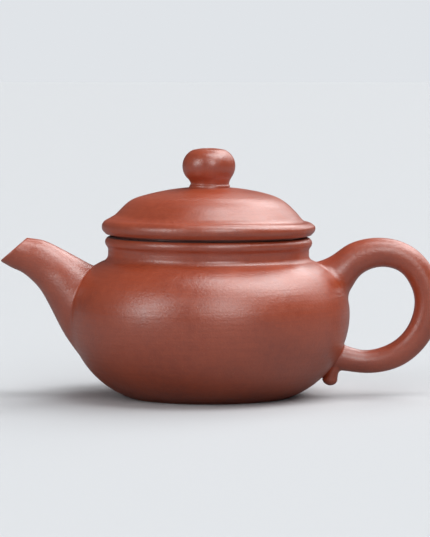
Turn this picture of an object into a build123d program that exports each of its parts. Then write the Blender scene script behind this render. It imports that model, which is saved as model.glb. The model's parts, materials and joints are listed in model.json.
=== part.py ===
from build123d import *
from math import acos, asin, atan2, cos, degrees, hypot, radians, sin, sqrt
import os

# A small round unglazed stoneware teapot: a flattened globe with a waisted neck, a domed lid
# that rests on the mouth and can be lifted off, a short swan spout and a ring handle.
# It is luted together from separately made clay pieces, and each piece is one file here.
# Units are millimetres. +Z is up, the pot's axis is Z, and z = 0 is the plane it stands on.
# The handle is on the +X side and the spout on the -X side.

# ---- driving dimensions -------------------------------------------------------------------
BODY_R = 45.0  # widest radius of the body
BODY_MID_Z = 26.7  # height of the widest circle
WALL = 3.0  # thickness of the paddled wall
LOWER_R = 28.3  # arc from the foot up to the widest circle
UPPER_R = 18.0  # arc from the widest circle up to the neck
SHOULDER_SEAM_DEG = 58.0  # where the wall meets the shoulder piece, on the upper arc
CEILING_RISE = 0.5  # the shoulder piece's underside rises this much towards the mouth

FOOT_INNER_R = 17.5  # inside of the flat ring that the pot stands on
FOOT_HOLLOW = 0.8  # how far the middle of the base is pressed in
PRESS_EDGE = 4.0  # width of the curve from the ring up to the pressed-in middle

NECK_R = 32.2  # narrowest radius of the neck
NECK_HOLLOW_R = 2.2  # hollow curves above and below the neck's straight
NECK_RIM_SEAM_Z = 47.4  # where the neck piece meets the rim piece
RIM_BEAD_R = 1.8  # round bead of the rim
RIM_R = 33.2  # outer radius of that bead
SEAT_Z = 51.2  # top of the rim, where the lid rests
MOUTH_R = 28.5  # radius of the open mouth
MOUTH_EDGE = 0.5  # small bevel inside the mouth

LID_CLEARANCE = 0.25  # between the lid's flange and the mouth, on the radius
FLANGE_WALL = 2.6
FLANGE_DEPTH = 8.0
FLANGE_TAPER = 0.5  # how far the flange's lower edge is bevelled
LID_SEAT_R = 30.2  # outside of the flat that touches the rim
LID_RELIEF = 0.6  # gap under the lip outside that flat
LIP_R = 2.9  # rolled lip
LIP_CENTRE = (31.4, 53.9)
DOME_TOP_Z = 67.2
DOME_R = 78.0  # flat cap of the dome
CAP_SLOPE_DEG = 17.0  # slope where the cap turns into the dome's shoulder
DOME_SHOULDER_R = 9.0
FLANK_SLOPE_DEG = 46.0  # slope of the dome's straight flank
FLANK_HOLLOW_R = 2.5  # hollow curve between the flank and the lip
DOME_WALL = 3.2
DOME_CORNER = 6.0  # width of the curve inside the dome, down to the flange's bore

KNOB_R = 8.5
KNOB_LOW_R = 5.75  # arc under the knob's widest part
KNOB_LOW_Z = 73.8  # and the height of its centre
KNOB_HIGH_R = 5.4  # arc above the knob's widest part
KNOB_HIGH_Z = 74.0
KNOB_CROWN_DEG = 68.0  # where that arc turns into the flat top
KNOB_TOP_Z = 79.5
KNOB_NECK_R = 6.1
KNOB_HOLLOW_R = 0.9  # hollow curve from the neck onto the lid
AIR_HOLE_R = 1.1  # through the knob and the dome

STRAINER_Z = 27.5  # centre of the ball strainer, at the root of the spout
STRAINER_R = 8.4
STRAINER_WALL = 1.5
STRAINER_CENTRE_X = -42.0
STRAINER_COLLAR = 8.0  # longer than the wall is thick, and trimmed to its outside
STRAINER_HOLE_R = 0.85
STRAINER_RINGS = ((1, 0.0), (6, 20.0), (12, 39.0), (18, 58.0))  # holes, angle off the axis

# Spout, channel and handle are each a row of elliptical sections across the XZ plane. A section
# is the (x, z) of its two ends and its half width in Y.
# Spout: upper end, lower end, half width, from inside the body to the tip.
SPOUT_SECTIONS = (
    ((-30.0, 38.0), (-38.6, 9.0), 12.6),
    ((-34.6, 40.9), (-45.7, 18.8), 12.0),
    ((-37.6, 42.2), (-49.3, 25.5), 10.6),
    ((-41.0, 44.0), (-52.3, 31.6), 8.9),
    ((-45.6, 46.5), (-55.3, 35.9), 7.1),
    ((-51.3, 49.4), (-59.4, 39.5), 5.8),
    ((-54.6, 50.5), (-62.5, 41.0), 5.2),
    ((-58.3, 51.4), (-66.6, 43.4), 4.9),
)
# Channel inside it, the same way, from the strainer to the open tip.
CHANNEL_SECTIONS = (
    ((-40.0, 34.4), (-40.0, 20.6), 6.9),
    ((-43.0, 37.6), (-48.6, 28.2), 6.0),
    ((-46.6, 42.6), (-52.4, 35.4), 4.6),
    ((-52.6, 47.3), (-57.8, 41.3), 3.9),
    ((-59.2, 51.3), (-65.2, 45.8), 3.8),
)
# Handle: outer end, inner end, half width, from the upper root round to the lower one.
HANDLE_SECTIONS = (
    ((31.5, 42.2), (40.5, 27.5), 7.8),
    ((39.1, 44.8), (45.3, 34.2), 5.9),
    ((45.4, 48.9), (48.8, 38.9), 4.8),
    ((55.0, 50.8), (54.7, 41.4), 4.45),
    ((64.9, 48.2), (60.9, 40.2), 4.3),
    ((72.0, 40.8), (64.5, 36.1), 4.25),
    ((74.7, 30.2), (66.1, 30.2), 4.15),
    ((71.5, 18.7), (64.2, 22.8), 4.0),
    ((62.6, 9.95), (58.8, 17.1), 3.85),
    ((52.1, 7.3), (51.5, 14.7), 3.65),
    ((44.6, 7.85), (45.4, 15.6), 3.8),
    ((36.5, 8.6), (38.0, 18.2), 4.8),
)
# Tail: the handle's lower end, pressed down the body. A tapered finger with a round end.
TAIL_ROOT = (42.6, 13.2)  # x and z of its thick end, inside the handle
TAIL_ROOT_R = 3.2
TAIL_TIP = (38.9, 5.9)  # x and z of the centre of its round end
TAIL_TIP_R = 2.3

# ---- small geometry helpers ---------------------------------------------------------------


def polar(centre, radius, angle):
    """The point on a circle at an angle in degrees."""
    turn = radians(angle)
    return (centre[0] + radius * cos(turn), centre[1] + radius * sin(turn))


def arc(centre, radius, start, end):
    """An arc between two angles in degrees, drawn the short way through their mean."""
    middle = (start + end) / 2
    return ThreePointArc(*(polar(centre, radius, a) for a in (start, middle, end)))


def bearing(centre, point):
    """Angle in degrees from a centre to a point."""
    return degrees(atan2(point[1] - centre[1], point[0] - centre[0]))


def along(start, end, distance):
    """The point at a distance from start on the way to end."""
    share = distance / hypot(end[0] - start[0], end[1] - start[1])
    return (start[0] + share * (end[0] - start[0]), start[1] + share * (end[1] - start[1]))


def turned(*edges):
    """The solid of revolution about Z of a closed outline of edges in radius and height."""
    return revolve(make_face([Plane.XZ * edge for edge in edges]), Axis.Z)


def section(first, last, half_width):
    """An ellipse that stands across the XZ plane between two of its points."""
    half = hypot(first[0] - last[0], first[1] - last[1]) / 2
    up = ((first[0] - last[0]) / (2 * half), (first[1] - last[1]) / (2 * half))
    middle = ((first[0] + last[0]) / 2, 0, (first[1] + last[1]) / 2)
    plane = Plane(middle, x_dir=(up[0], 0, up[1]), z_dir=(up[1], 0, -up[0]))
    return plane * Ellipse(half, half_width)


def lofted(sections):
    """The smooth solid through a row of sections."""
    return loft([section(*ends_and_width) for ends_and_width in sections])


# ---- the pot's outline --------------------------------------------------------------------
LOWER_CENTRE = (BODY_R - LOWER_R, BODY_MID_Z)
UPPER_CENTRE = (BODY_R - UPPER_R, BODY_MID_Z)
FOOT_DEG = -degrees(asin(BODY_MID_Z / LOWER_R))  # where the lower arc meets z = 0
FOOT_R = polar(LOWER_CENTRE, LOWER_R, FOOT_DEG)[0]
RIM_CENTRE = (RIM_R - RIM_BEAD_R, SEAT_Z - RIM_BEAD_R)

HOLLOW_X = NECK_R + NECK_HOLLOW_R  # radius of the centres of the neck's hollow curves
SHOULDER_HOLLOW = (
    HOLLOW_X,
    BODY_MID_Z + sqrt((UPPER_R + NECK_HOLLOW_R) ** 2 - (HOLLOW_X - UPPER_CENTRE[0]) ** 2),
)
RIM_HOLLOW = (
    HOLLOW_X,
    RIM_CENTRE[1] - sqrt((RIM_BEAD_R + NECK_HOLLOW_R) ** 2 - (HOLLOW_X - RIM_CENTRE[0]) ** 2),
)
NECK_FOOT = along(SHOULDER_HOLLOW, UPPER_CENTRE, NECK_HOLLOW_R)
RIM_FOOT = along(RIM_HOLLOW, RIM_CENTRE, NECK_HOLLOW_R)
RIM_SEAM_DEG = 180 - degrees(asin((NECK_RIM_SEAM_Z - RIM_HOLLOW[1]) / NECK_HOLLOW_R))
RIM_SEAM = polar(RIM_HOLLOW, NECK_HOLLOW_R, RIM_SEAM_DEG)
FLOOR_EDGE_DEG = -degrees(acos((FOOT_R - LOWER_CENTRE[0]) / (LOWER_R - WALL)))
FLOOR_EDGE = polar(LOWER_CENTRE, LOWER_R - WALL, FLOOR_EDGE_DEG)
SHOULDER_SEAM_OUT = polar(UPPER_CENTRE, UPPER_R, SHOULDER_SEAM_DEG)
SHOULDER_SEAM_IN = polar(UPPER_CENTRE, UPPER_R - WALL, SHOULDER_SEAM_DEG)
CEILING_Z = SHOULDER_SEAM_IN[1] + CEILING_RISE


def pot_envelope():
    """The pot's outside as one full solid. It trims what is luted onto the body."""
    return turned(
        Line((0, 0), (FOOT_R, 0)),
        arc(LOWER_CENTRE, LOWER_R, FOOT_DEG, 0),
        arc(UPPER_CENTRE, UPPER_R, 0, bearing(UPPER_CENTRE, NECK_FOOT)),
        arc(SHOULDER_HOLLOW, NECK_HOLLOW_R, bearing(SHOULDER_HOLLOW, NECK_FOOT) + 360, 180),
        Line((NECK_R, SHOULDER_HOLLOW[1]), (NECK_R, SEAT_Z)),
        Line((NECK_R, SEAT_Z), (0, SEAT_Z)),
        Line((0, SEAT_Z), (0, 0)),
    )


def base_disc():
    """The bottom slab. Its middle is pressed in, so the pot stands on a flat ring."""
    press_r = (PRESS_EDGE**2 + FOOT_HOLLOW**2) / (2 * FOOT_HOLLOW)
    press = (FOOT_INNER_R - PRESS_EDGE, FOOT_HOLLOW - press_r)
    return turned(
        Line((FOOT_INNER_R, 0), (FOOT_R, 0)),
        Line((FOOT_R, 0), FLOOR_EDGE),
        Line(FLOOR_EDGE, (0, FLOOR_EDGE[1])),
        Line((0, FLOOR_EDGE[1]), (0, FOOT_HOLLOW)),
        Line((0, FOOT_HOLLOW), (press[0], FOOT_HOLLOW)),
        arc(press, press_r, 90, bearing(press, (FOOT_INNER_R, 0))),
    )


def strainer_seat():
    """The round hole through the wall that the strainer's collar fills."""
    middle = Plane((STRAINER_CENTRE_X, 0, STRAINER_Z), z_dir=(-1, 0, 0))
    return middle * extrude(Circle(STRAINER_R), amount=STRAINER_COLLAR, both=True)


def body_wall():
    """The paddled wall of the globe, with the hole for the strainer at the spout's root."""
    wall = turned(
        arc(LOWER_CENTRE, LOWER_R, FOOT_DEG, 0),
        arc(UPPER_CENTRE, UPPER_R, 0, SHOULDER_SEAM_DEG),
        Line(SHOULDER_SEAM_OUT, SHOULDER_SEAM_IN),
        arc(UPPER_CENTRE, UPPER_R - WALL, SHOULDER_SEAM_DEG, 0),
        arc(LOWER_CENTRE, LOWER_R - WALL, 0, FLOOR_EDGE_DEG),
        Line(FLOOR_EDGE, (FOOT_R, 0)),
    )
    return wall - strainer_seat()


def shoulder_ring():
    """The disc that closed the globe's top, with the mouth cut through it."""
    neck_foot_deg = bearing(UPPER_CENTRE, NECK_FOOT)
    return turned(
        arc(UPPER_CENTRE, UPPER_R, SHOULDER_SEAM_DEG, neck_foot_deg),
        Line(NECK_FOOT, (MOUTH_R, NECK_FOOT[1])),
        Line((MOUTH_R, NECK_FOOT[1]), (MOUTH_R, CEILING_Z)),
        Line((MOUTH_R, CEILING_Z), SHOULDER_SEAM_IN),
        Line(SHOULDER_SEAM_IN, SHOULDER_SEAM_OUT),
    )


def neck_ring():
    """The waisted band between the shoulder and the rim."""
    neck_foot_deg = bearing(SHOULDER_HOLLOW, NECK_FOOT) + 360
    return turned(
        arc(SHOULDER_HOLLOW, NECK_HOLLOW_R, neck_foot_deg, 180),
        Line((NECK_R, SHOULDER_HOLLOW[1]), (NECK_R, RIM_HOLLOW[1])),
        arc(RIM_HOLLOW, NECK_HOLLOW_R, 180, RIM_SEAM_DEG),
        Line(RIM_SEAM, (MOUTH_R, RIM_SEAM[1])),
        Line((MOUTH_R, RIM_SEAM[1]), (MOUTH_R, NECK_FOOT[1])),
        Line((MOUTH_R, NECK_FOOT[1]), NECK_FOOT),
    )


def mouth_rim():
    """The round bead round the mouth. Its flat top is the lid's seat."""
    return turned(
        arc(RIM_HOLLOW, NECK_HOLLOW_R, RIM_SEAM_DEG, bearing(RIM_HOLLOW, RIM_FOOT)),
        arc(RIM_CENTRE, RIM_BEAD_R, bearing(RIM_CENTRE, RIM_FOOT), 90),
        Line((RIM_CENTRE[0], SEAT_Z), (MOUTH_R + MOUTH_EDGE, SEAT_Z)),
        Line((MOUTH_R + MOUTH_EDGE, SEAT_Z), (MOUTH_R, SEAT_Z - MOUTH_EDGE)),
        Line((MOUTH_R, SEAT_Z - MOUTH_EDGE), (MOUTH_R, RIM_SEAM[1])),
        Line((MOUTH_R, RIM_SEAM[1]), RIM_SEAM),
    )


def strainer(envelope):
    """A perforated clay ball end, set in the wall so that leaves stay out of the spout."""
    inner_r = STRAINER_R - STRAINER_WALL
    far_half = Pos(0, 0, -STRAINER_R) * Box(3 * STRAINER_R, 3 * STRAINER_R, 2 * STRAINER_R)
    piece = Sphere(STRAINER_R) - Sphere(inner_r) - far_half
    piece += extrude(Circle(STRAINER_R) - Circle(inner_r), amount=-STRAINER_COLLAR)
    start = Pos(0, 0, inner_r / 2)
    drill = start * Cylinder(STRAINER_HOLE_R, STRAINER_R, align=(Align.CENTER, Align.CENTER, Align.MIN))
    for count, off_axis in STRAINER_RINGS:
        for step in range(count):
            piece -= Rot(0, 0, 360 * step / count) * Rot(0, off_axis, 0) * drill
    place = Plane((STRAINER_CENTRE_X, 0, STRAINER_Z), z_dir=(1, 0, 0))
    return (place * piece) & envelope


def spout(envelope):
    """The swan spout, thick at the root and round at the tip, with its channel."""
    return lofted(SPOUT_SECTIONS) - envelope - lofted(CHANNEL_SECTIONS)


def handle(envelope):
    """The ring handle, a tapered coil bent round and pressed onto the body at both ends."""
    return lofted(HANDLE_SECTIONS) - envelope


def handle_tail(envelope, coil):
    """The little finger of clay that runs down the body from the handle's lower root."""
    run = (TAIL_TIP[0] - TAIL_ROOT[0], TAIL_TIP[1] - TAIL_ROOT[1])
    length = hypot(*run)
    taper_deg = degrees(asin((TAIL_ROOT_R - TAIL_TIP_R) / length))
    touch = polar((0, length), TAIL_TIP_R, taper_deg)
    finger = turned(
        Line((0, 0), (TAIL_ROOT_R, 0)),
        Line((TAIL_ROOT_R, 0), touch),
        arc((0, length), TAIL_TIP_R, taper_deg, 90),
        Line((0, length + TAIL_TIP_R), (0, 0)),
    )
    place = Plane((TAIL_ROOT[0], 0, TAIL_ROOT[1]), x_dir=(0, 1, 0), z_dir=(run[0], 0, run[1]))
    return place * finger - envelope - coil


# ---- the lid ------------------------------------------------------------------------------
DOME_CENTRE = (0, DOME_TOP_Z - DOME_R)
CAP_EDGE = polar(DOME_CENTRE, DOME_R, 90 - CAP_SLOPE_DEG)
DOME_SHOULDER = polar(CAP_EDGE, -DOME_SHOULDER_R, 90 - CAP_SLOPE_DEG)
FLANK_TOP = polar(DOME_SHOULDER, DOME_SHOULDER_R, 90 - FLANK_SLOPE_DEG)


def flank_hollow():
    """Centre of the hollow curve that touches the dome's flank and the rolled lip."""
    run = (cos(radians(FLANK_SLOPE_DEG)), -sin(radians(FLANK_SLOPE_DEG)))
    first = polar(FLANK_TOP, FLANK_HOLLOW_R, 90 - FLANK_SLOPE_DEG)
    to_lip = (first[0] - LIP_CENTRE[0], first[1] - LIP_CENTRE[1])
    half_b = to_lip[0] * run[0] + to_lip[1] * run[1]
    gap = to_lip[0] ** 2 + to_lip[1] ** 2 - (FLANK_HOLLOW_R + LIP_R) ** 2
    travel = -half_b - sqrt(half_b**2 - gap)
    return (first[0] + travel * run[0], first[1] + travel * run[1])


FLANK_HOLLOW = flank_hollow()
FLANK_FOOT = polar(FLANK_HOLLOW, -FLANK_HOLLOW_R, 90 - FLANK_SLOPE_DEG)
LIP_TOP = along(FLANK_HOLLOW, LIP_CENTRE, FLANK_HOLLOW_R)
FLANGE_R = MOUTH_R - LID_CLEARANCE
LID_BORE_R = FLANGE_R - FLANGE_WALL
LIP_FOOT_Z = SEAT_Z + LID_RELIEF
LIP_FOOT = (LIP_CENTRE[0] + sqrt(LIP_R**2 - (LIP_CENTRE[1] - LIP_FOOT_Z) ** 2), LIP_FOOT_Z)
INNER_DOME_R = DOME_R - DOME_WALL
INNER_TOP_Z = DOME_TOP_Z - DOME_WALL


def air_hole():
    """The hole that lets air in as tea is poured, through the knob and the dome."""
    return Pos(0, 0, DOME_TOP_Z) * Cylinder(AIR_HOLE_R, 2 * (KNOB_TOP_Z - SEAT_Z))


def lid_dome():
    """The domed top plate, down to the hollow above the lip."""
    inner_slope = (LID_BORE_R - DOME_CORNER) / INNER_DOME_R
    inner_deg = degrees(acos(inner_slope))
    inner_edge = polar(DOME_CENTRE, INNER_DOME_R, inner_deg)
    bore_top = (LID_BORE_R, FLANK_FOOT[1])
    dome = turned(
        arc(DOME_CENTRE, DOME_R, 90, 90 - CAP_SLOPE_DEG),
        arc(DOME_SHOULDER, DOME_SHOULDER_R, 90 - CAP_SLOPE_DEG, 90 - FLANK_SLOPE_DEG),
        Line(FLANK_TOP, FLANK_FOOT),
        Line(FLANK_FOOT, bore_top),
        Spline(bore_top, inner_edge, tangents=((0, 1), (-1, inner_slope))),
        arc(DOME_CENTRE, INNER_DOME_R, inner_deg, 90),
        Line((0, INNER_TOP_Z), (0, DOME_TOP_Z)),
    )
    return dome - air_hole()


def lid_lip():
    """The rolled lip and the flat under it that rests on the rim."""
    hollow_start = bearing(FLANK_HOLLOW, FLANK_FOOT) + 360
    hollow_end = bearing(FLANK_HOLLOW, LIP_TOP) + 360
    return turned(
        arc(FLANK_HOLLOW, FLANK_HOLLOW_R, hollow_start, hollow_end),
        arc(LIP_CENTRE, LIP_R, bearing(LIP_CENTRE, LIP_TOP), bearing(LIP_CENTRE, LIP_FOOT)),
        Line(LIP_FOOT, (LID_SEAT_R, LIP_FOOT_Z)),
        Line((LID_SEAT_R, LIP_FOOT_Z), (LID_SEAT_R, SEAT_Z)),
        Line((LID_SEAT_R, SEAT_Z), (LID_BORE_R, SEAT_Z)),
        Line((LID_BORE_R, SEAT_Z), (LID_BORE_R, FLANK_FOOT[1])),
        Line((LID_BORE_R, FLANK_FOOT[1]), FLANK_FOOT),
    )


def lid_flange():
    """The ring under the lid that drops into the mouth and keeps the lid in place."""
    low = SEAT_Z - FLANGE_DEPTH
    return turned(
        Line((LID_BORE_R, SEAT_Z), (FLANGE_R, SEAT_Z)),
        Line((FLANGE_R, SEAT_Z), (FLANGE_R, low + FLANGE_TAPER)),
        Line((FLANGE_R, low + FLANGE_TAPER), (FLANGE_R - FLANGE_TAPER, low)),
        Line((FLANGE_R - FLANGE_TAPER, low), (LID_BORE_R, low)),
        Line((LID_BORE_R, low), (LID_BORE_R, SEAT_Z)),
    )


def knob():
    """The flattened ball on its short neck, with the air hole through it."""
    low = (KNOB_R - KNOB_LOW_R, KNOB_LOW_Z)
    high = (KNOB_R - KNOB_HIGH_R, KNOB_HIGH_Z)
    waist_deg = -degrees(acos((KNOB_NECK_R - low[0]) / KNOB_LOW_R))
    waist = polar(low, KNOB_LOW_R, waist_deg)
    foot_x = KNOB_NECK_R + KNOB_HOLLOW_R
    foot = (foot_x, DOME_CENTRE[1] + sqrt(DOME_R**2 - foot_x**2))
    hollow = (foot_x, foot[1] + KNOB_HOLLOW_R)
    crown = polar(high, KNOB_HIGH_R, KNOB_CROWN_DEG)
    crown_way = (-sin(radians(KNOB_CROWN_DEG)), cos(radians(KNOB_CROWN_DEG)))
    ball = turned(
        arc(DOME_CENTRE, DOME_R, 90, bearing(DOME_CENTRE, foot)),
        arc(hollow, KNOB_HOLLOW_R, 270, 180),
        Line((KNOB_NECK_R, hollow[1]), waist),
        arc(low, KNOB_LOW_R, waist_deg, 0),
        Line((KNOB_R, KNOB_LOW_Z), (KNOB_R, KNOB_HIGH_Z)),
        arc(high, KNOB_HIGH_R, 0, KNOB_CROWN_DEG),
        Spline(crown, (0, KNOB_TOP_Z), tangents=(crown_way, (-1, 0))),
        Line((0, KNOB_TOP_Z), (0, DOME_TOP_Z)),
    )
    return ball - air_hole()


def main():
    os.makedirs("parts", exist_ok=True)
    envelope = pot_envelope()
    coil = handle(envelope)
    pieces = {
        "base_disc": base_disc(),
        "body_wall": body_wall(),
        "shoulder_ring": shoulder_ring(),
        "neck_ring": neck_ring(),
        "mouth_rim": mouth_rim(),
        "strainer": strainer(envelope),
        "spout": spout(envelope),
        "handle": coil,
        "handle_tail": handle_tail(envelope, coil),
        "lid_dome": lid_dome(),
        "lid_lip": lid_lip(),
        "lid_flange": lid_flange(),
        "knob": knob(),
    }
    for name, piece in pieces.items():
        export_step(piece, f"parts/{name}.step")


main()
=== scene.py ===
import json
import math

import bmesh
import bpy
import numpy as np
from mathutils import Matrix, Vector
from mathutils.bvhtree import BVHTree


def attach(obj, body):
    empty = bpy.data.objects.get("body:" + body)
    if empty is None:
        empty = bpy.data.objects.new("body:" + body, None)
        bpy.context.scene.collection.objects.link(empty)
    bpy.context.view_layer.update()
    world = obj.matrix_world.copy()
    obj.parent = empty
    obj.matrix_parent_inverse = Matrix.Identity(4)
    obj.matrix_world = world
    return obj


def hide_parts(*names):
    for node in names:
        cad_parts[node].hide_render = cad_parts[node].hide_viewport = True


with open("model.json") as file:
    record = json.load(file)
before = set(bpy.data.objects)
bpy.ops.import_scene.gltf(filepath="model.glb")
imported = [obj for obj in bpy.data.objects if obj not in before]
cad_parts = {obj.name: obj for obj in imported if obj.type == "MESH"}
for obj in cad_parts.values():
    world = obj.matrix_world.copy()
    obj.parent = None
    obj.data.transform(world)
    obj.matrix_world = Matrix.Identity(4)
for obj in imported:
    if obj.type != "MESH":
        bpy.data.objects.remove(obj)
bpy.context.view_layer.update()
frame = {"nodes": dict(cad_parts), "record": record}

# A small unglazed stoneware teapot on a pale table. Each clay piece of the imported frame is
# built here again as a finer closed mesh, in the same place. Lengths are millimetres until a
# mesh, a light or the camera is made, which turns them into metres.
MM = 0.001

# ---- driving dimensions ---------------------------------------------------------------------
# A circle is its centre's radius and height, and its own radius.
WIDE_Z = 26.7
UPPER = (27.0, WIDE_Z, 18.0)
LOWER = (16.7, WIDE_Z, 28.3)
WALL = 3.0
FOOT_R = 26.08
FOOT_INNER_R = 17.5
FOOT_HOLLOW = 0.8
PRESS_EDGE = 4.0
SHOULDER_SEAM = 58.0  # degrees up the upper arc
CEILING_RISE = 0.5
NECK_R = 32.2
NECK_HOLLOW = 2.2
RIM_SEAM_Z = 47.4
RIM_BEAD = (31.4, 49.4, 1.8)
SEAT_Z = 51.2
MOUTH_R = 28.5
MOUTH_EDGE = 0.5
FLANGE_R = 28.25
BORE_R = 25.65
FLANGE_LOW = 43.2
LID_SEAT_R = 29.8
LIP = (31.75, 54.25, 2.55)
LIP_PARED = -20.0  # degrees round the lip, below which its underside is pared away
LIP_EDGE = (33.97, 52.95)
LIP_FOOT_Z = 51.9
LIP_FOOT = (32.9, LIP_FOOT_Z)
SEAT_MIDDLE_Z = (SEAT_Z + LIP_FOOT_Z) / 2
DOME_TOP_Z = 67.2
DOME_R = 78.0
DOME = (0.0, DOME_TOP_Z - DOME_R, DOME_R)
CAP_SLOPE = 15.5  # degrees, where the cap meets its shoulder
DOME_SHOULDER_R = 13.0
FLANK_SLOPE = 46.0  # degrees
FLANK_HOLLOW_R = 4.5
DOME_WALL = 3.2
DOME_CORNER = 6.0
AIR_HOLE_R = 1.1
KNOB_LOW = (2.75, 73.8, 5.75)
KNOB_HIGH = (3.0, 73.9, 5.5)
KNOB_CROWN = 68.0  # degrees up the ball, where its flattened top starts
KNOB_TOP_Z = 79.5
KNOB_NECK_R = 6.1
STRAINER_Z = 27.5
STRAINER_HOLE_R = 8.4
FOOT_EASE = 0.35
FOOT_EASE_TURN = 0.9  # degrees up the wall from the foot
FLANGE_EASE = 0.7
FLANGE_INNER_EASE = 0.5
AIR_HOLE_EASE = 0.5
SMALL_EASE = 0.6

LATHE_SEGMENTS = 256
ROW = 0.5  # spacing of the rows on a turned surface

# Spout, channel and handle: the two ends (x, z) and the half width in Y of each section.
SPOUT = (
    ((-30.0, 38.0), (-38.6, 9.0), 12.6),
    ((-34.6, 40.9), (-45.7, 18.8), 12.0),
    ((-37.6, 42.2), (-49.3, 25.5), 10.6),
    ((-41.0, 44.0), (-52.3, 31.6), 8.9),
    ((-45.6, 46.5), (-55.3, 35.9), 7.1),
    ((-51.3, 49.4), (-59.4, 39.5), 5.8),
    ((-54.6, 50.35), (-62.5, 41.0), 5.2),
    ((-57.9, 50.8), (-66.1, 43.0), 5.0),
)
CHANNEL = (
    ((-43.9, 34.3), (-43.9, 20.7), 6.8),
    ((-45.0, 37.2), (-48.9, 29.0), 5.9),
    ((-47.6, 42.2), (-52.8, 35.3), 4.7),
    ((-52.6, 46.8), (-58.0, 40.9), 4.1),
    ((-58.0, 49.2), (-64.3, 43.9), 3.9),
)
HANDLE = (
    ((31.5, 42.2), (40.5, 27.5), 7.8),
    ((39.1, 44.8), (45.3, 34.2), 5.9),
    ((45.4, 48.9), (48.8, 38.9), 4.8),
    ((55.0, 50.8), (54.7, 41.4), 4.45),
    ((64.9, 48.2), (60.9, 40.2), 4.3),
    ((72.0, 40.8), (64.5, 36.1), 4.25),
    ((74.7, 30.2), (66.1, 30.2), 4.15),
    ((71.5, 18.7), (64.2, 22.8), 4.0),
    ((62.6, 9.95), (58.8, 17.1), 3.85),
    ((52.1, 7.3), (51.5, 14.7), 3.65),
    ((44.6, 7.85), (45.4, 15.6), 3.8),
    ((36.5, 8.6), (38.0, 18.2), 4.8),
)
# The tail: sections from its round tip up into the handle's root.
TAIL_BULGE = 2.15
TAIL = (
    ((36.2, 5.3), (41.1, 5.5), 2.25),
    ((37.3, 8.0), (41.5, 7.5), 2.7),
    ((38.6, 11.0), (42.8, 10.0), 3.3),
    ((40.2, 14.0), (44.4, 12.9), 3.6),
)

MOUTH_TILT = 0.0075  # the mouth was cut a little low towards the handle


# ---- outlines ---------------------------------------------------------------------------------
def polar(circle, degrees):
    """The point on a circle at an angle."""
    turn = math.radians(degrees)
    return (circle[0] + circle[2] * math.cos(turn), circle[1] + circle[2] * math.sin(turn))


def bearing(circle, point):
    """The angle in degrees from a circle's centre to a point."""
    return math.degrees(math.atan2(point[1] - circle[1], point[0] - circle[0]))


def spaced(length, row=ROW):
    """Shares of a length, a row apart, with closer rows at both ends for an unseen seam."""
    steps = max(3, math.ceil(length / row))
    even = [i / steps for i in range(steps + 1)]
    ends = [s / length for s in (0.06, 0.18) if s < length / 4]
    return sorted(even + ends + [1 - s for s in ends])


def arc(circle, start, end, row=ROW):
    """Points along an arc between two angles in degrees."""
    length = abs(math.radians(end - start)) * circle[2]
    return [polar(circle, start + (end - start) * share) for share in spaced(length, row)]


def line(start, end, row=ROW):
    """Points along a straight stretch."""
    shares = spaced(math.dist(start, end), row)
    return [tuple(a + (b - a) * share for a, b in zip(start, end)) for share in shares]


def toward(start, end, distance):
    """The point at a distance from start on the way to end."""
    share = distance / math.dist(start, end)
    return tuple(a + (b - a) * share for a, b in zip(start, end))


def bend(start, corner, end, steps=8):
    """A smooth curve from start to end that leaves and arrives along the lines to a corner."""
    shares = [i / steps for i in range(steps + 1)]
    return [
        tuple((1 - s) ** 2 * a + 2 * s * (1 - s) * b + s * s * c for a, b, c in zip(start, corner, end))
        for s in shares
    ]


# The neck's two hollow curves touch the shoulder's arc and the rim's bead.
HOLLOW_AT = NECK_R + NECK_HOLLOW
SHOULDER_HOLLOW = (
    HOLLOW_AT,
    WIDE_Z + math.sqrt((UPPER[2] + NECK_HOLLOW) ** 2 - (HOLLOW_AT - UPPER[0]) ** 2),
    NECK_HOLLOW,
)
RIM_HOLLOW = (
    HOLLOW_AT,
    RIM_BEAD[1] - math.sqrt((RIM_BEAD[2] + NECK_HOLLOW) ** 2 - (HOLLOW_AT - RIM_BEAD[0]) ** 2),
    NECK_HOLLOW,
)
NECK_FOOT = toward(SHOULDER_HOLLOW[:2], UPPER[:2], NECK_HOLLOW)
RIM_FOOT = toward(RIM_HOLLOW[:2], RIM_BEAD[:2], NECK_HOLLOW)
RIM_SEAM_TURN = 180 - math.degrees(math.asin((RIM_SEAM_Z - RIM_HOLLOW[1]) / NECK_HOLLOW))
RIM_SEAM = polar(RIM_HOLLOW, RIM_SEAM_TURN)
LOWER_INNER = (LOWER[0], LOWER[1], LOWER[2] - WALL)
UPPER_INNER = (UPPER[0], UPPER[1], UPPER[2] - WALL)
FOOT_TURN = -math.degrees(math.asin(WIDE_Z / LOWER[2]))
FLOOR_TURN = -math.degrees(math.acos((FOOT_R - LOWER[0]) / LOWER_INNER[2]))
FLOOR_EDGE = polar(LOWER_INNER, FLOOR_TURN)
SEAM_OUT = polar(UPPER, SHOULDER_SEAM)
SEAM_IN = polar(UPPER_INNER, SHOULDER_SEAM)
CEILING_Z = SEAM_IN[1] + CEILING_RISE

CAP_EDGE = polar(DOME, 90 - CAP_SLOPE)
DOME_SHOULDER = toward(CAP_EDGE, DOME[:2], DOME_SHOULDER_R) + (DOME_SHOULDER_R,)
FLANK_TOP = polar(DOME_SHOULDER, 90 - FLANK_SLOPE)


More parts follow.
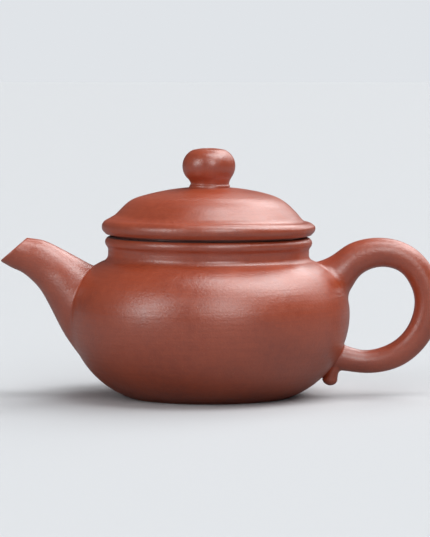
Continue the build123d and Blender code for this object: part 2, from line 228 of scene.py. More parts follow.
def flank_hollow():
    """The hollow curve that touches the dome's flank and the rolled lip."""
    slope = math.radians(FLANK_SLOPE)
    run = (math.cos(slope), -math.sin(slope))
    first = polar((*FLANK_TOP, FLANK_HOLLOW_R), 90 - FLANK_SLOPE)
    to_lip = (first[0] - LIP[0], first[1] - LIP[1])
    half_b = to_lip[0] * run[0] + to_lip[1] * run[1]
    gap = to_lip[0] ** 2 + to_lip[1] ** 2 - (FLANK_HOLLOW_R + LIP[2]) ** 2
    travel = -half_b - math.sqrt(half_b**2 - gap)
    return (first[0] + travel * run[0], first[1] + travel * run[1], FLANK_HOLLOW_R)


FLANK_HOLLOW = flank_hollow()
FLANK_FOOT = polar(FLANK_HOLLOW, 270 - FLANK_SLOPE)
LIP_TOP = toward(FLANK_HOLLOW[:2], LIP[:2], FLANK_HOLLOW_R)


def base_disc_outline():
    press_r = (PRESS_EDGE**2 + FOOT_HOLLOW**2) / (2 * FOOT_HOLLOW)
    press = (FOOT_INNER_R - PRESS_EDGE, FOOT_HOLLOW - press_r, press_r)
    edge = bearing(press, (FOOT_INNER_R, 0))
    return (
        [(0, FOOT_HOLLOW)]
        + line((1.0, FOOT_HOLLOW), (press[0], FOOT_HOLLOW), 1.5)
        + arc(press, 90, edge)
        + line((FOOT_INNER_R, 0), (FOOT_R, 0), 1.5)
        + line((FOOT_R, 0), FLOOR_EDGE)
        + line(FLOOR_EDGE, (1.0, FLOOR_EDGE[1]), 1.5)
        + [(0, FLOOR_EDGE[1])]
    )


def body_wall_outline():
    return (
        bend((FOOT_R - FOOT_EASE, 0.0), (FOOT_R, 0.0), polar(LOWER, FOOT_TURN + FOOT_EASE_TURN), 5)
        + arc(LOWER, FOOT_TURN + FOOT_EASE_TURN, 0)
        + arc(UPPER, 0, SHOULDER_SEAM)
        + line(SEAM_OUT, SEAM_IN, 1.0)
        + arc(UPPER_INNER, SHOULDER_SEAM, 0, 1.0)
        + arc(LOWER_INNER, 0, FLOOR_TURN, 1.0)
        + [(FOOT_R - FOOT_EASE, FLOOR_EDGE[1])]
    )


def shoulder_ring_outline():
    return (
        arc(UPPER, SHOULDER_SEAM, bearing(UPPER, NECK_FOOT))
        + line(NECK_FOOT, (MOUTH_R, NECK_FOOT[1]), 1.0)
        + line((MOUTH_R, NECK_FOOT[1]), (MOUTH_R, CEILING_Z + 0.5), 1.0)
        + bend((MOUTH_R, CEILING_Z + 0.5), (MOUTH_R, CEILING_Z), (MOUTH_R + SMALL_EASE, CEILING_Z), 5)
        + line((MOUTH_R + SMALL_EASE, CEILING_Z), SEAM_IN, 1.0)
        + line(SEAM_IN, SEAM_OUT, 1.0)
    )


def neck_ring_outline():
    return (
        arc(SHOULDER_HOLLOW, bearing(SHOULDER_HOLLOW, NECK_FOOT) % 360, 180, 0.25)
        + line((NECK_R, SHOULDER_HOLLOW[1]), (NECK_R, RIM_HOLLOW[1]), 0.25)
        + arc(RIM_HOLLOW, 180, RIM_SEAM_TURN, 0.25)
        + line(RIM_SEAM, (MOUTH_R, RIM_SEAM[1]), 1.0)
        + line((MOUTH_R, RIM_SEAM[1]), (MOUTH_R, NECK_FOOT[1]), 1.0)
        + line((MOUTH_R, NECK_FOOT[1]), NECK_FOOT, 1.0)
    )


def mouth_rim_outline():
    return (
        arc(RIM_HOLLOW, RIM_SEAM_TURN, bearing(RIM_HOLLOW, RIM_FOOT), 0.15)
        + arc(RIM_BEAD, bearing(RIM_BEAD, RIM_FOOT), 90, 0.2)
        + line((RIM_BEAD[0], SEAT_Z), (MOUTH_R + MOUTH_EDGE, SEAT_Z), 0.6)
        + bend((MOUTH_R + MOUTH_EDGE, SEAT_Z), (MOUTH_R, SEAT_Z), (MOUTH_R, SEAT_Z - MOUTH_EDGE), 6)
        + line((MOUTH_R, SEAT_Z - MOUTH_EDGE), (MOUTH_R, RIM_SEAM[1]), 1.0)
        + line((MOUTH_R, RIM_SEAM[1]), RIM_SEAM, 1.0)
    )


def lid_dome_outline():
    inner = (DOME[0], DOME[1], DOME[2] - DOME_WALL)
    edge_turn = math.degrees(math.acos((BORE_R - DOME_CORNER) / inner[2]))
    hole_turn = math.degrees(math.acos(AIR_HOLE_R / inner[2]))
    hole_top = math.degrees(math.acos(AIR_HOLE_R / DOME[2]))
    edge = polar(inner, edge_turn)
    return (
        arc(DOME, hole_top, 90 - CAP_SLOPE)
        + arc(DOME_SHOULDER, 90 - CAP_SLOPE, 90 - FLANK_SLOPE, 0.4)
        + line(FLANK_TOP, FLANK_FOOT, 0.4)
        + line(FLANK_FOOT, (BORE_R, FLANK_FOOT[1]), 1.0)
        + bend((BORE_R, FLANK_FOOT[1]), (BORE_R, edge[1] - 1.7), edge, 12)
        + arc(inner, edge_turn, hole_turn, 1.0)
    )


def lid_lip_outline():
    return (
        arc(FLANK_HOLLOW, 270 - FLANK_SLOPE, bearing(FLANK_HOLLOW, LIP_TOP) % 360, 0.2)
        + arc(LIP, bearing(LIP, LIP_TOP), LIP_PARED, 0.2)
        + bend(polar(LIP, LIP_PARED - 1), LIP_EDGE, toward(LIP_EDGE, LIP_FOOT, 0.4), 6)
        + line(toward(LIP_EDGE, LIP_FOOT, 0.45), toward(LIP_FOOT, LIP_EDGE, 0.3), 0.2)
        + bend(toward(LIP_FOOT, LIP_EDGE, 0.25), LIP_FOOT, (LIP_FOOT[0] - 0.3, LIP_FOOT_Z), 4)
        + line((LIP_FOOT[0] - 0.35, LIP_FOOT_Z), (LID_SEAT_R, LIP_FOOT_Z), 0.6)
        + [(LID_SEAT_R, SEAT_Z + 0.02)]
        + line((LID_SEAT_R - 0.1, SEAT_Z), (BORE_R, SEAT_Z), 1.0)
        + line((BORE_R, SEAT_Z), (BORE_R, FLANK_FOOT[1]), 1.0)
        + line((BORE_R, FLANK_FOOT[1]), FLANK_FOOT, 1.0)
    )


def lid_flange_outline():
    low = FLANGE_LOW
    outer_top = (FLANGE_R, low + FLANGE_EASE)
    outer_end = (FLANGE_R - FLANGE_EASE, low)
    inner_end = (BORE_R + FLANGE_INNER_EASE, low)
    inner_top = (BORE_R, low + FLANGE_INNER_EASE)
    return (
        line((BORE_R, SEAT_Z), (FLANGE_R, SEAT_Z), 1.0)
        + line((FLANGE_R, SEAT_Z), outer_top, 1.0)
        + bend(outer_top, (FLANGE_R, low), outer_end, 6)
        + line(outer_end, inner_end, 0.6)
        + bend(inner_end, (BORE_R, low), inner_top, 5)
        + line(inner_top, (BORE_R, SEAT_Z), 1.0)
    )


def knob_outline():
    """The ball, its short neck and the slip that was smoothed round the neck's foot."""
    foot = DOME_TOP_Z - 0.3
    bottom = foot - 0.2
    neck = KNOB_NECK_R
    waist_turn = -math.degrees(math.acos((neck - KNOB_LOW[0]) / KNOB_LOW[2]))
    waist = polar(KNOB_LOW, waist_turn)
    ball_start = polar(KNOB_LOW, waist_turn + 12)
    slip = (neck + 0.35, foot + 0.72)
    crown = polar(KNOB_HIGH, KNOB_CROWN)
    hole_edge = (AIR_HOLE_R + 0.35, KNOB_TOP_Z)
    hole_top = (AIR_HOLE_R, KNOB_TOP_Z - AIR_HOLE_EASE)
    return (
        [(AIR_HOLE_R, bottom), (3.0, bottom), (neck, foot - 0.25)]
        + bend((neck + 0.62, bottom), (neck + 0.5, foot + 0.1), (neck + 0.42, foot + 0.4), 5)
        + bend((neck + 0.41, foot + 0.44), (slip[0] + 0.02, slip[1]), (slip[0] - 0.22, slip[1] + 0.3), 6)
        + bend((slip[0] - 0.25, slip[1] + 0.34), (neck - 0.05, waist[1] - 0.5), ball_start, 10)
        + arc(KNOB_LOW, waist_turn + 13, 0, 0.25)
        + arc(KNOB_HIGH, 0, KNOB_CROWN, 0.25)
        + bend(crown, (2.6, KNOB_TOP_Z), hole_edge, 10)
        + bend(hole_edge, (AIR_HOLE_R, KNOB_TOP_Z), hole_top, 6)
        + line(hole_top, (AIR_HOLE_R, bottom), 2.0)
    )


# ---- the maker's hand -------------------------------------------------------------------------
def ramp(value, low, high):
    """0 below low, 1 above high and a smooth rise between them."""
    share = np.clip((value - low) / (high - low), 0.0, 1.0)
    return share * share * (3 - 2 * share)


def by_hand(points):
    """Points moved as a hand-built pot differs from its drawing, all pieces alike."""
    x, y, z = points[:, 0], points[:, 1], points[:, 2]
    radius = np.hypot(x, y)
    turn = np.arctan2(y, x)
    free = ramp(radius, 3.0, 14.0)
    out = 0.060 * np.sin(2 * turn + 0.8 + z / 19.0) + 0.040 * np.sin(3 * turn - 1.1 + z / 11.0)
    out += 0.018 * np.sin(5 * turn + 2.0 + z / 6.0)
    # faint rings from paddling and turning
    ring = 0.55 * np.sin(2 * math.pi * z / 3.1 + 0.7 * np.sin(turn + 0.4))
    ring += 0.45 * np.sin(2 * math.pi * z / 1.9 + 0.9 * np.sin(2 * turn))
    out += 0.010 * ring * ramp(radius, 20.0, 26.0) * (1 - ramp(radius, 45.5, 47.5))
    # the rolled lip is a little uneven
    lip = ramp(radius, 28.5, 31.0) * ramp(z, 51.5, 52.5) * (1 - ramp(z, 56.0, 58.0))
    lip *= 1 - ramp(radius, 34.5, 36.0)
    out = out * free + lip * (0.05 * np.sin(7 * turn + 1.0) + 0.07 * np.sin(4 * turn - 0.6))
    mouth = ramp(z, 42.0, 49.0) * (1 - ramp(z, 53.0, 59.0)) * (1 - ramp(radius, 35.0, 39.0))
    lift = -MOUTH_TILT * x * mouth
    lift += lip * 0.06 * np.sin(5 * turn + 2.2)
    lift += 0.05 * ramp(radius, 4.0, 12.0) * ramp(z, 57.0, 60.0) * np.sin(3 * turn + 0.5)
    # the lid's flank droops towards the handle and is fuller towards the spout
    droop = 0.35 * ramp(radius, 17.0, 26.0) + 0.60 * ramp(radius, 28.5, 31.5)
    fuller = 0.60 * ramp(radius, 20.5, 28.0) * (1 - ramp(radius, 30.5, 33.0))
    side = np.cos(turn)
    lift += (fuller * np.maximum(-side, 0.0) ** 2 - droop * np.maximum(side, 0.0) ** 2) * ramp(z, 53.9, 56.6)
    # nothing is quite on the axis: the foot, the mouth and the knob sit towards the handle
    near = 1 - ramp(radius, 40.0, 52.0)
    lean = 0.40 * (1 - ramp(z, 8.0, 26.0)) * near + 0.12 * mouth
    lean += 0.28 * ramp(z, 10.0, 24.0) * (1 - ramp(z, 34.0, 43.0)) * (1 - ramp(radius, 47.0, 53.0))
    lean += 0.20 * ramp(z, 66.8, 71.0) + 0.45 * ramp(z, 66.6, 67.4) * (1 - ramp(z, 68.2, 71.0))
    safe = np.maximum(radius, 1e-6)
    return np.stack([x + out * x / safe + lean, y + out * y / safe, z + lift], axis=1)


# ---- meshes -----------------------------------------------------------------------------------
def piece(name, points, faces, node, slot, material, sharp=40.0):
    """A closed smooth mesh that stands for a CAD node and rides on its body."""
    mesh = bpy.data.meshes.new(name)
    mesh.from_pydata((by_hand(np.asarray(points)) * MM).tolist(), [], faces)
    build = bmesh.new()
    build.from_mesh(mesh)
    bmesh.ops.recalc_face_normals(build, faces=build.faces)
    build.to_mesh(mesh)
    build.free()
    mesh.shade_smooth()
    mesh.set_sharp_from_angle(angle=math.radians(sharp))
    mesh.materials.append(material)
    made = bpy.data.objects.new(name, mesh)
    bpy.context.scene.collection.objects.link(made)
    body = next(b for b, nodes in frame["record"]["behaviour"]["bodies"].items() if node in nodes)
    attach(made, body)
    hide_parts(node)
    return made


def lathe(outline):
    """Points and faces of a closed outline (radius, height) turned about Z."""
    kept = []
    for point in outline:
        if not kept or math.dist(point, kept[-1]) > 1e-3:
            kept.append(point)
    if math.dist(kept[0], kept[-1]) < 1e-3:
        kept.pop()
    turns = np.arange(LATHE_SEGMENTS) * 2 * math.pi / LATHE_SEGMENTS
    cosine, sine = np.cos(turns), np.sin(turns)
    points, rows = [], []
    for radius, height in kept:
        if radius < 1e-6:
            rows.append([len(points)] * LATHE_SEGMENTS)
            points.append((0.0, 0.0, height))
            continue
        rows.append(list(range(len(points), len(points) + LATHE_SEGMENTS)))
        points.extend(zip(radius * cosine, radius * sine, [height] * LATHE_SEGMENTS))
    faces = []
    for row, following in zip(rows, rows[1:] + rows[:1]):
        if row[0] == row[1] and following[0] == following[1]:
            continue
        faces += stitched(row, following)
    return points, faces


def stitched(row, following):
    """Faces between two rings of vertices, of which one may be a single point."""
    count = len(row)
    faces = []
    for i in range(count):
        j = (i + 1) % count
        corners = [row[i], row[j], following[j], following[i]]
        faces.append(tuple(dict.fromkeys(corners)))
    return faces


def spline(values, shares):
    """A natural cubic spline through rows of values at 0, 1, 2 ... read at shares."""
    values = np.asarray(values, float)
    count = len(values)
    system = np.eye(count)
    right = np.zeros_like(values)
    for i in range(1, count - 1):
        system[i, i - 1 : i + 2] = (1, 4, 1)
        right[i] = 6 * (values[i - 1] - 2 * values[i] + values[i + 1])
    second = np.linalg.solve(system, right)
    index = np.clip(np.floor(shares).astype(int), 0, count - 2)
    t = (shares - index)[..., None]
    s = 1 - t
    return (
        s * values[index]
        + t * values[index + 1]
        + ((s**3 - s) * second[index] + (t**3 - t) * second[index + 1]) / 6
    )


class Coil:
    """The smooth surface through a row of elliptical sections across the XZ plane."""

    def __init__(self, sections):
        rows = []
        for first, last, half_width in sections:
            middle = ((first[0] + last[0]) / 2, (first[1] + last[1]) / 2)
            rows.append((*middle, first[0] - middle[0], first[1] - middle[1], half_width))
        self.rows = rows
        self.end = len(rows) - 1.0

    def at(self, along, turn):
        """The surface's points. Turn 0 is a section's first end, and 90 degrees is +Y."""
        middle_x, middle_z, half_x, half_z, half_y = np.moveaxis(spline(self.rows, along), -1, 0)
        cosine, sine = np.cos(turn), np.sin(turn)
        return np.stack(
            [middle_x + half_x * cosine, half_y * sine, middle_z + half_z * cosine], axis=-1
        )

    def normal(self, along, turn):
        """The surface's unit normals, pointing outwards."""
        step = 1e-3
        low, high = np.maximum(along - step, 0), np.minimum(along + step, self.end)
        across = self.at(along, turn + step) - self.at(along, turn - step)
        found = np.cross(across, self.at(high, turn) - self.at(low, turn))
        found /= np.linalg.norm(found, axis=-1, keepdims=True)
        middle = (self.at(along, turn) + self.at(along, turn + math.pi)) / 2
        inward = np.sum(found * (self.at(along, turn) - middle), axis=-1, keepdims=True) < 0
        return np.where(inward, -found, found)


def body_gap(points):
    """Signed distances from the body's outside, and the unit directions away from it."""
    radius = np.hypot(points[:, 0], points[:, 1])
    upper = points[:, 2] >= WIDE_Z
    centre = np.where(upper, UPPER[0], LOWER[0])
    reach = np.where(upper, UPPER[2], LOWER[2])
    out = radius - centre
    up = points[:, 2] - WIDE_Z
    length = np.hypot(out, up)
    away = np.stack([out * points[:, 0] / radius, out * points[:, 1] / radius, up], axis=1)
    return length - reach, away / length[:, None]


def gap_with(coil, first, last):
    """Distances like body_gap, but from the body and a stretch of another coil together."""
    turns = angles(96)
    rings = [coil.at(np.full(len(turns), along), turns) for along in np.linspace(first, last, 120)]
    points, faces = ring_mesh(rings, (rings[0].mean(axis=0), rings[-1].mean(axis=0)))
    tree = BVHTree.FromPolygons([tuple(p) for p in points], faces)
    middle = Vector(rings[60].mean(axis=0))
    near, normal, _, _ = tree.find_nearest(middle)
    outward = -1 if (middle - near).dot(normal) > 0 else 1

    def gap(points):
        distance, away = body_gap(points)
        for i, point in enumerate(points):
            near, normal, _, reach = tree.find_nearest(Vector(point))
            way = Vector(point) - near
            normal = normal * outward
            signed = reach if way.dot(normal) >= 0 else -reach
            if signed < distance[i]:
                distance[i] = signed
                away[i] = (way / signed if abs(signed) > 1e-6 else normal)[:]
        return distance, away

    return gap


def luted_root(coil, turns, fillet, gap, inside, outside, rows=9, tuck=0.04):
    """How a coil meets what it is luted to: where it leaves the fillet, and the fillet's rings."""
    low = np.full(len(turns), float(inside))
    high = np.full(len(turns), float(outside))
    for _ in range(40):
        middle = (low + high) / 2
        centres = coil.at(middle, turns) + fillet[:, None] * coil.normal(middle, turns)
        touching = gap(centres)[0] < fillet
        low = np.where(touching, middle, low)
        high = np.where(touching, high, middle)
    leaves = (low + high) / 2
    normal = coil.normal(leaves, turns)
    centres = coil.at(leaves, turns) + fillet[:, None] * normal
    away = gap(centres)[1]
    angle = np.arccos(np.clip(np.sum(normal * away, axis=1), -1, 1))
    rings = []
    for share in np.linspace(0, 1, rows + 1)[1:]:
        scale = np.maximum(np.sin(angle), 1e-6)
        first, second = np.sin((1 - share) * angle) / scale, np.sin(share * angle) / scale
        flat = angle < 1e-4
        first, second = np.where(flat, 1 - share, first), np.where(flat, share, second)
        way = first[:, None] * normal + second[:, None] * away
        rings.append(centres - fillet[:, None] * way)
    # the fillet's edge is feathered out, just under the surface that it lies on
    side = rings[-1] - rings[-2]
    side /= np.maximum(np.linalg.norm(side, axis=1, keepdims=True), 1e-9)
    for reach, depth in ((0.25, 0.3), (0.6, 1.0), (1.0, 6.0)):
        ring = rings[rows - 1] + side * reach
        distance, way = gap(ring)
        rings.append(ring - way * (distance + tuck * depth)[:, None])
    return leaves, rings


def closing(ring, gap, depth, count=5):
    """Rings from a fillet's edge to a point, kept just under the body's surface, and the point."""
    middle = ring.mean(axis=0)
    rings = []
    for share in np.linspace(1, 0, count + 1)[1:-1]:
        level = middle + (ring - middle) * share
        distance, way = gap(level)
        rings.append(level - way * (distance + depth)[:, None])
    distance, way = gap(middle[None])
    return rings, middle - way[0] * (distance[0] + depth)


def ring_mesh(rings, poles=(None, None)):
    """Points and faces of rings stitched in order, closed to a pole at either end."""
    points, rows = [], []
    if poles[0] is not None:
        rows.append([0] * len(rings[0]))
        points.append(poles[0])
    for ring in rings:
        rows.append(list(range(len(points), len(points) + len(ring))))
        points.extend(ring)
    if poles[1] is not None:
        rows.append([len(points)] * len(rings[0]))
        points.append(poles[1])
    faces = []
    for row, following in zip(rows, rows[1:]):
        faces += stitched(row, following)
    if poles[0] is None and poles[1] is None:
        faces += stitched(rows[-1], rows[0])
    return points, faces


def angles(count):
    return np.arange(count) * 2 * math.pi / count


def spout_mesh():
    """The swan spout with its filleted root, round lip and channel."""
    turns = angles(144)
    coil, channel = Coil(SPOUT), Coil(CHANNEL)
    under = (1 - np.cos(turns)) / 2  # 0 on top, 1 underneath
    fillet = 0.6 + 0.9 * under + 18.0 * under**8
    leaves, fillet_rings = luted_root(coil, turns, fillet, body_gap, 0.05, 4.5)
    mouth = coil.end
    rings = fillet_rings[::-1]
    for share in np.linspace(0, 1, 75):
        rings.append(coil.at(leaves + (mouth - leaves) * share, turns))
    # the round lip: half an ellipse from the outside to the channel
    outer = rings[-1]
    inner = channel.at(np.full(len(turns), channel.end - 0.03), turns)
    outward = (outer - inner) / 2
    middle = (outer + inner) / 2
    onward = outer - coil.at(mouth - 0.3, turns)
    tip = onward / np.linalg.norm(onward, axis=1)[:, None] * (0.7 + 0.4 * under)[:, None]
    for degrees in range(18, 180, 18):
        turn = math.radians(degrees)
        rings.append(middle + outward * math.cos(turn) + tip * math.sin(turn))
    for share in np.linspace(1, 0, 41):
        rings.append(channel.at(np.full(len(turns), (channel.end - 0.03) * share), turns))
    root, edge = rings[-1], rings[0]
    for share in (0.33, 0.66):
        level = root + (edge - root) * share
        distance, way = body_gap(level)
        rings.append(level - way * (distance + 0.4)[:, None])
    return ring_mesh(rings)


def handle_mesh():
    """The ring handle with its two filleted roots."""
    turns = angles(112)
    coil = Coil(HANDLE)
    inner = (1 - np.cos(turns)) / 2
    upper = 1.4 + 1.6 * np.sin(turns) ** 2 + 1.9 * inner + 2.7 * inner**3
    lower = 0.55 + 0.35 * inner
    first, upper_rings = luted_root(coil, turns, upper, body_gap, 0.05, 3.0)
    last, lower_rings = luted_root(coil, turns, lower, body_gap, coil.end - 0.02, coil.end - 2.5)
    start_rings, start = closing(upper_rings[-1], body_gap, 0.6)
    end_rings, end = closing(lower_rings[-1], body_gap, 0.6)
    rings = start_rings[::-1] + upper_rings[::-1]
    for share in np.linspace(0, 1, 260):
        rings.append(coil.at(first + (last - first) * share, turns))
    rings += lower_rings + end_rings
    return ring_mesh(rings, (start, end))


def tail_mesh():
    """The little finger of clay from the handle's lower root down the body."""
    turns = angles(112)
    coil = Coil(TAIL)
    gap = gap_with(Coil(HANDLE), 6.0, 11.0)
    outer = (1 - np.cos(turns)) / 2
    fillet = 0.25 + 1.05 * ramp(outer, 0.40, 0.80)
    fillet += 0.9 * np.sin(turns) ** 2 * ramp(outer, 0.42, 0.60)
    leaves, fillet_rings = luted_root(coil, turns, fillet, gap, coil.end, 0.0)
    start = coil.at(np.zeros(len(turns)), turns)
    middle = start.mean(axis=0)
    way = np.array([0.12, 0.0, -0.99])
    rings = []
    for degrees in range(8, 90, 8):
        turn = math.radians(degrees)
        rings.append(middle + (start - middle) * math.sin(turn) + way * TAIL_BULGE * math.cos(turn))
    for share in np.linspace(0, 1, 40):
        rings.append(coil.at(leaves * share, turns))
    inside = fillet_rings[-1].mean(axis=0)
    end_rings = [inside + (fillet_rings[-1] - inside) * share for share in (0.7, 0.35)]
    return ring_mesh(rings + fillet_rings + end_rings, (middle + way * TAIL_BULGE, inside))


# ---- clay -------------------------------------------------------------------------------------
class Nodes:
    """Short calls for building a node tree."""

    def __init__(self, tree):
        self.tree = tree

    def add(self, kind, inputs=None, **settings):
        node = self.tree.nodes.new(kind)
        for key, value in settings.items():
            setattr(node, key, value)
        for key, value in (inputs or {}).items():
            socket = node.inputs[key]
            if isinstance(value, bpy.types.NodeSocket):
                self.tree.links.new(value, socket)
            else:
                socket.default_value = value
        return node

    def noise(self, where, scale, detail=4.0, roughness=0.55, stretch=None):
        """Noise over the shared object space, with its scale in waves a metre."""
        if stretch:
            mapped = self.add("ShaderNodeMapping", {"Vector": where, "Scale": stretch})
            where = mapped.outputs[0]
        inputs = {"Vector": where, "Scale": scale, "Detail": detail, "Roughness": roughness}
        return self.add("ShaderNodeTexNoise", inputs).outputs[0]

    def span(self, value, low, high, to_low=0.0, to_high=1.0):
        inputs = {"Value": value, "From Min": low, "From Max": high, "To Min": to_low, "To Max": to_high}
        return self.add("ShaderNodeMapRange", inputs, interpolation_type="SMOOTHSTEP").outputs[0]

    def maths(self, operation, *values):
        return self.add("ShaderNodeMath", dict(enumerate(values)), operation=operation).outputs[0]

    def blend(self, factor, first, second):
        node = self.add("ShaderNodeMix", data_type="RGBA", blend_type="MIX")
        for index, value in ((0, factor), (6, first), (7, second)):
            if isinstance(value, bpy.types.NodeSocket):
                self.tree.links.new(value, node.inputs[index])
            else:
                node.inputs[index].default_value = value
        return node.outputs[2]


def painted_seat_shade(nodes, where):
    """Painted shade in the narrow groove round the seat, outside the lid, where the lid's lip shades the
    gap: 1 in it, 0 elsewhere.
    """
    place = nodes.add("ShaderNodeSeparateXYZ", {"Vector": where})
    flat = nodes.add("ShaderNodeCombineXYZ", {"X": place.outputs[0], "Y": place.outputs[1]})
    radius = nodes.add("ShaderNodeVectorMath", {0: flat.outputs[0]}, operation="LENGTH").outputs["Value"]
    height = nodes.maths("ABSOLUTE", nodes.maths("SUBTRACT", place.outputs[2], SEAT_MIDDLE_Z * MM))
    level = nodes.span(height, 0.62 * MM, 0.40 * MM)
    inside = nodes.span(radius, 32.7 * MM, 32.1 * MM)
    outside = nodes.span(radius, 29.7 * MM, 30.9 * MM)
    return nodes.maths("MULTIPLY", nodes.maths("MULTIPLY", level, inside), outside)


def clay(name, colour, roughness, gloss, burnish):
    """Fired zisha clay: sand grain, turning marks and a hand-burnished satin."""
    material = bpy.data.materials.new(name)
    material.use_nodes = True
    nodes = Nodes(material.node_tree)
    shader = material.node_tree.nodes["Principled BSDF"]
    where = nodes.add("ShaderNodeTexCoord").outputs["Object"]
    cloud = nodes.noise(where, 55.0, 3.0)
    mottle = nodes.noise(where, 420.0, 4.0, 0.65)
    grain = nodes.noise(where, 2600.0, 3.0, 0.7)
    pores = nodes.noise(where, 1250.0, 2.0, 0.6)
    strokes = nodes.noise(where, 150.0, 5.0, 0.65, (0.35, 0.35, 9.0))
    cells = nodes.add("ShaderNodeTexVoronoi", {"Vector": where, "Scale": 900.0})
    speck = nodes.span(cells.outputs["Distance"], 0.16, 0.05)
    pick = nodes.add("ShaderNodeSeparateColor", {"Color": cells.outputs["Color"]})
    pale = nodes.maths("MULTIPLY", speck, nodes.span(pick.outputs[0], 0.80, 0.86))
    dark = nodes.maths("MULTIPLY", speck, nodes.span(pick.outputs[1], 0.80, 0.86))

    tone = nodes.blend(nodes.span(cloud, 0.35, 0.65), colour["deep"], colour["warm"])
    tone = nodes.blend(nodes.span(mottle, 0.30, 0.72, 0.0, 0.55), tone, colour["light"])
    tone = nodes.blend(nodes.span(strokes, 0.35, 0.7, 0.0, 0.28), tone, colour["deep"])
    tone = nodes.blend(nodes.span(grain, 0.30, 0.75, 0.16, 0.0), tone, colour["dark"])
    tone = nodes.blend(nodes.span(pores, 0.30, 0.55, 0.12, 0.0), tone, colour["dark"])
    tone = nodes.blend(nodes.maths("MULTIPLY", pale, 0.42), tone, colour["sand"])
    tone = nodes.blend(nodes.maths("MULTIPLY", dark, 0.2), tone, colour["iron"])
    # painted shade: the groove between the lid and the rim is darkened nearly to black
    painted_gap_shade = painted_seat_shade(nodes, where)
    tone = nodes.blend(nodes.maths("MULTIPLY", painted_gap_shade, 0.90), tone, colour["painted_gap_shade"])
    nodes.tree.links.new(tone, shader.inputs["Base Color"])

    rough = nodes.span(strokes, 0.30, 0.72, roughness - 0.02, roughness + 0.06)
    rough = nodes.maths("ADD", rough, nodes.span(mottle, 0.3, 0.7, -0.01, 0.04))
    rough = nodes.maths("ADD", rough, nodes.span(cloud, 0.35, 0.65, -0.02, 0.02))
    # the groove with the painted shade is also made rougher
    rough = nodes.maths("ADD", rough, nodes.maths("MULTIPLY", painted_gap_shade, 0.5))
    nodes.tree.links.new(rough, shader.inputs["Roughness"])
    shader.inputs["IOR"].default_value = 1.68
    shader.inputs["Specular IOR Level"].default_value = gloss

    relief = nodes.maths("MULTIPLY", grain, 0.045)
    relief = nodes.maths("ADD", relief, nodes.maths("MULTIPLY", pores, 0.125))
    relief = nodes.maths("ADD", relief, nodes.maths("MULTIPLY", mottle, 0.060))
    relief = nodes.maths("ADD", relief, nodes.maths("MULTIPLY", strokes, 0.090 * burnish))
    relief = nodes.maths("ADD", relief, nodes.maths("MULTIPLY", pale, 0.02))
    bump = nodes.add("ShaderNodeBump", {"Height": relief, "Strength": 0.6, "Distance": MM})
    nodes.tree.links.new(bump.outputs[0], shader.inputs["Normal"])
    return material


BURNISHED = clay(
    "burnished_zisha",
    {
        "deep": (0.405, 0.058, 0.017, 1),
        "warm": (0.500, 0.075, 0.021, 1),
        "light": (0.570, 0.099, 0.031, 1),
        "dark": (0.250, 0.036, 0.013, 1),
        "sand": (0.640, 0.330, 0.210, 1),
        "iron": (0.090, 0.026, 0.018, 1),
        # painted shade for the groove between the lid and the rim
        "painted_gap_shade": (0.040, 0.012, 0.007, 1),
    },
    0.32,
    1.0,
    1.0,
)
PLAIN = clay(
    "plain_zisha",
    {
        "deep": (0.300, 0.092, 0.054, 1),
        "warm": (0.380, 0.122, 0.070, 1),
        "light": (0.450, 0.160, 0.096, 1),
        "dark": (0.200, 0.058, 0.036, 1),
        "sand": (0.600, 0.320, 0.210, 1),
        "iron": (0.110, 0.034, 0.024, 1),
        # painted shade for the groove between the lid and the rim
        "painted_gap_shade": (0.060, 0.020, 0.014, 1),
    },
    0.62,
    0.45,
    0.6,
)


# ---- the pieces -------------------------------------------------------------------------------
def turned(node, outline, slot="burnished_clay"):
    material = BURNISHED if slot == "burnished_clay" else PLAIN
    return piece("clay_" + node, *lathe(outline), node, slot, material)


turned("base_disc", base_disc_outline(), "plain_clay")
wall = turned("body_wall", body_wall_outline())
turned("shoulder_ring", shoulder_ring_outline())
turned("neck_ring", neck_ring_outline())
turned("mouth_rim", mouth_rim_outline())
turned("lid_dome", lid_dome_outline())
turned("lid_lip", lid_lip_outline())
turned("lid_flange", lid_flange_outline(), "plain_clay")
turned("knob", knob_outline())


def cut_strainer_hole(target):
    """The round hole through the wall that the strainer's collar fills."""
    hole = bpy.data.meshes.new("strainer_hole")
    build = bmesh.new()
    radius = STRAINER_HOLE_R * MM
    bmesh.ops.create_cone(build, cap_ends=True, segments=96, radius1=radius, radius2=radius, depth=14 * MM)
    build.to_mesh(hole)
    build.free()
    drill = bpy.data.objects.new("strainer_hole", hole)
    drill.location = (-44 * MM, 0, STRAINER_Z * MM)
    drill.rotation_euler = (0, math.pi / 2, 0)
    bpy.context.scene.collection.objects.link(drill)
    cut = target.modifiers.new("strainer_hole", "BOOLEAN")
    cut.operation = "DIFFERENCE"
    cut.solver = "EXACT"
    cut.object = drill
    bpy.context.view_layer.update()
    graph = bpy.context.evaluated_depsgraph_get()
    result = bpy.data.meshes.new_from_object(target.evaluated_get(graph), depsgraph=graph)
    target.modifiers.remove(cut)
    target.data = result
    result.shade_smooth()
    result.set_sharp_from_angle(angle=math.radians(40))
    bpy.data.objects.remove(drill)


cut_strainer_hole(wall)

strainer = frame["nodes"]["strainer"]
strainer.data.materials.clear()
strainer.data.materials.append(PLAIN)

piece("clay_spout", *spout_mesh(), "spout", "burnished_clay", BURNISHED)
piece("clay_handle", *handle_mesh(), "handle", "burnished_clay", BURNISHED)
piece("clay_handle_tail", *tail_mesh(), "handle_tail", "burnished_clay", BURNISHED)


# ---- the studio -------------------------------------------------------------------------------
FLOOR_COLOUR = (0.692, 0.712, 0.735, 1)
FLOOR_BOUNCE = (0.25, 0.26, 0.27, 1)
BACKGROUND = (0.748, 0.775, 0.808, 1)
AMBIENT = 0.11
LIGHT_SPREAD = 29.0
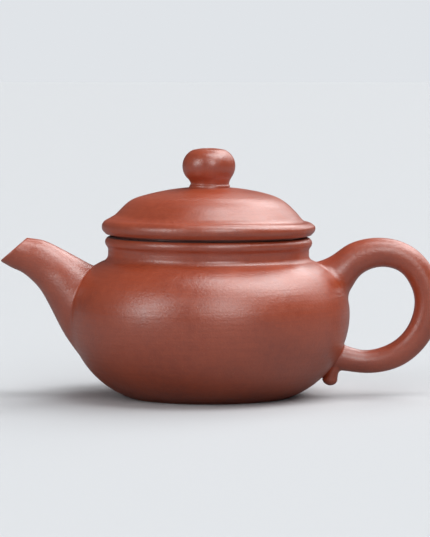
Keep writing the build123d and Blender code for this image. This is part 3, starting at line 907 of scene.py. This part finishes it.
# Softboxes above and behind on the right, weaker ones in front and on the left: name, azimuth,
# elevation, strength.
SOFT_LIGHTS = (
    ("overhead", 60, 78, 0.74),
    ("right", 75, 55, 0.56),
    ("right_back", 112, 53, 0.74),
    ("back", 155, 46, 0.68),
    ("back_low", 148, 26, 0.36),
    ("right_low", 118, 30, 0.20),
    ("front_high", 25, 55, 0.20),
    ("front", 15, 29, 0.60),
    ("front_low", 20, 12, 0.06),
    ("left_low", -55, 17, 0.40),
    ("left", -50, 32, 0.28),
)


def floor():
    """A wide plain pale table top."""
    mesh = bpy.data.meshes.new("floor")
    half = 12.0
    corners = [(-half, -half, 0), (half, -half, 0), (half, half, 0), (-half, half, 0)]
    mesh.from_pydata(corners, [], [(0, 1, 2, 3)])
    made = bpy.data.objects.new("floor", mesh)
    bpy.context.scene.collection.objects.link(made)
    material = bpy.data.materials.new("pale_table")
    material.use_nodes = True
    nodes = Nodes(material.node_tree)
    shader = material.node_tree.nodes["Principled BSDF"]
    shader.inputs["Roughness"].default_value = 0.7
    shader.inputs["Specular IOR Level"].default_value = 0.1
    # it throws less light back onto the pot than the camera sees, to keep the pot's underside dark
    rays = nodes.add("ShaderNodeLightPath")
    tone = nodes.blend(rays.outputs["Is Camera Ray"], FLOOR_BOUNCE, FLOOR_COLOUR)
    nodes.tree.links.new(tone, shader.inputs["Base Color"])
    mesh.materials.append(material)


def sun(name, azimuth, elevation, strength):
    """A soft light from far away. Azimuth 0 is the front, and 90 the right."""
    turn, rise = math.radians(azimuth), math.radians(elevation)
    towards = (math.sin(turn) * math.cos(rise), -math.cos(turn) * math.cos(rise), math.sin(rise))
    light = bpy.data.lights.new(name, "SUN")
    light.energy = strength
    light.angle = math.radians(LIGHT_SPREAD)
    made = bpy.data.objects.new(name, light)
    made.rotation_euler = Vector(towards).to_track_quat("Z", "Y").to_euler()
    bpy.context.scene.collection.objects.link(made)


floor()
for name, azimuth, elevation, strength in SOFT_LIGHTS:
    sun(name, azimuth, elevation, strength)

world = bpy.data.worlds.new("studio")
world.use_nodes = True
bpy.context.scene.world = world
nodes = Nodes(world.node_tree)
ambient = world.node_tree.nodes["Background"]
ambient.inputs["Color"].default_value = (0.92, 0.96, 1.0, 1)
ambient.inputs["Strength"].default_value = AMBIENT
seen = nodes.add("ShaderNodeBackground", {"Color": BACKGROUND, "Strength": 1.0})
rays = nodes.add("ShaderNodeLightPath")
choice = nodes.add(
    "ShaderNodeMixShader", {0: rays.outputs["Is Camera Ray"], 1: ambient.outputs[0], 2: seen.outputs[0]}
)
world.node_tree.links.new(choice.outputs[0], world.node_tree.nodes["World Output"].inputs["Surface"])

CAMERA_PLACE = (0.00215, -1.0, 0.109)
CAMERA_DOWN = 3.894  # degrees
camera_data = bpy.data.cameras.new("camera")
camera_data.lens = 209.5
camera_data.sensor_width = 36.0
camera = bpy.data.objects.new("camera", camera_data)
camera.location = CAMERA_PLACE
camera.rotation_euler = (math.radians(90 - CAMERA_DOWN), 0, 0)
bpy.context.scene.collection.objects.link(camera)
bpy.context.scene.camera = camera
view = bpy.context.scene.view_settings
view.view_transform = "Standard"
view.look = "None"
